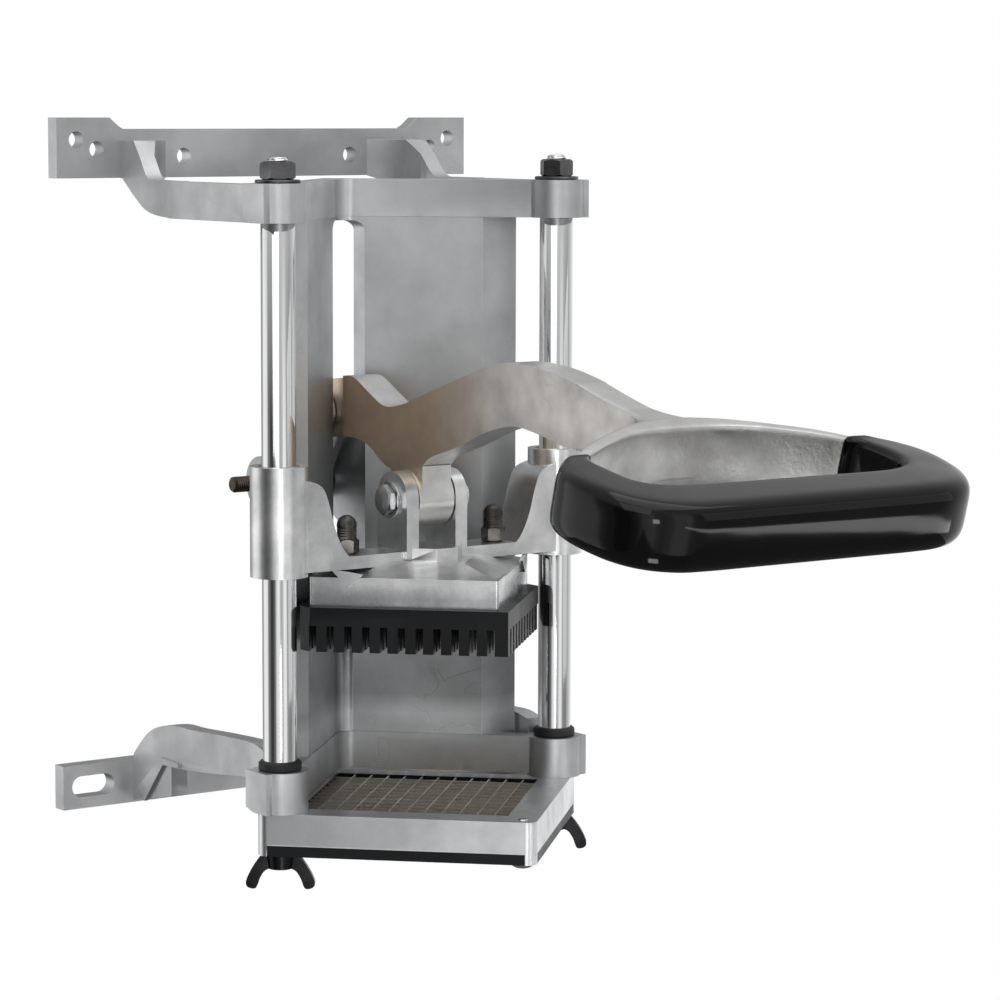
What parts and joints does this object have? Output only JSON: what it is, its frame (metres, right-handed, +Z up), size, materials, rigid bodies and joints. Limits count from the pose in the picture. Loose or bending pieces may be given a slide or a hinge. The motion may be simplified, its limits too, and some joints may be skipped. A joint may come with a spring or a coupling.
{
  "type": "french fry cutter",
  "caption": "Wall-mounted french fry cutter: a cast frame with guide rods, a lever with a coated loop handle and a toothed pusher block that presses food through a square grid of blades.",
  "frame": {"origin": "on the wall face, midway between the lower mounting slots", "axes": "+Y into the wall, +Z up along the guide rods, +X to the right as seen by the cook"},
  "size_m": [0.238, 0.4329, 0.355],
  "materials": {
    "cast_aluminium": "satin, as cast",
    "polished_head": "bright, tumbled casting",
    "rod_steel": "mirror ground",
    "fastener_steel": "plain",
    "bright_steel": "bright plated",
    "bronze": "satin",
    "bolt_brass": "plain thread",
    "black_plastic": "satin black",
    "black_rubber": "matte black",
    "black_vinyl": "high gloss dipped coat",
    "blade_steel": "ground"
  },
  "bodies": {
    "frame": {"frame": "cast_aluminium", "guide_rod_left": "rod_steel", "guide_rod_right": "rod_steel", "rod_nuts": "fastener_steel", "rod_washers": "fastener_steel", "rod_bumpers": "black_rubber", "link_bolt": "bolt_brass", "blade_frame": "cast_aluminium", "blade_spacer": "black_plastic", "upper_blades": "blade_steel", "lower_blades": "blade_steel", "blade_retainer": "cast_aluminium", "retainer_strips": "black_plastic", "frame_screws": "bright_steel"},
    "pusher": {"pusher_head": "polished_head", "head_liners": "bronze", "pusher_block": "black_plastic", "block_studs": "fastener_steel", "cap_nuts": "bright_steel", "lever_bolt": "bright_steel", "lever_bolt_nut": "bright_steel", "lever_bolt_washers": "bright_steel"},
    "lever": {"lever": "cast_aluminium", "handle_grip": "black_vinyl"},
    "link": {"link": "cast_aluminium", "link_pin": "rod_steel"},
    "wing_nut_left": {"wing_nut_left": "fastener_steel"},
    "wing_nut_right": {"wing_nut_right": "fastener_steel"}
  },
  "joints": [
    {"name": "pusher_slide", "type": "slide", "parent": "frame", "child": "pusher", "axis": [0, 0, 1], "range_m": [-0.08, 0.072]},
    {"name": "lever_pivot", "type": "hinge", "parent": "pusher", "child": "lever", "pos_m": [0, -0.142, 0.1475], "axis": [1, 0, 0], "range_deg": [-36.6, 40.7]},
    {"name": "link_pivot", "type": "hinge", "parent": "frame", "child": "link", "pos_m": [0, -0.044, 0.1475], "axis": [1, 0, 0], "range_deg": [-39.3, 43.6]},
    {"name": "left_wing_nut_turn", "type": "hinge", "parent": "frame", "child": "wing_nut_left", "pos_m": [-0.079, -0.142, -0.018], "axis": [0, 0, 1], "continuous": true},
    {"name": "right_wing_nut_turn", "type": "hinge", "parent": "frame", "child": "wing_nut_right", "pos_m": [0.079, -0.142, -0.018], "axis": [0, 0, 1], "continuous": true}
  ],
  "couplings": [
    {"joint": "lever_pivot", "follows": "pusher_slide", "rad_per_m": -8.8488},
    {"joint": "link_pivot", "follows": "pusher_slide", "rad_per_m": -9.4946}
  ]
}
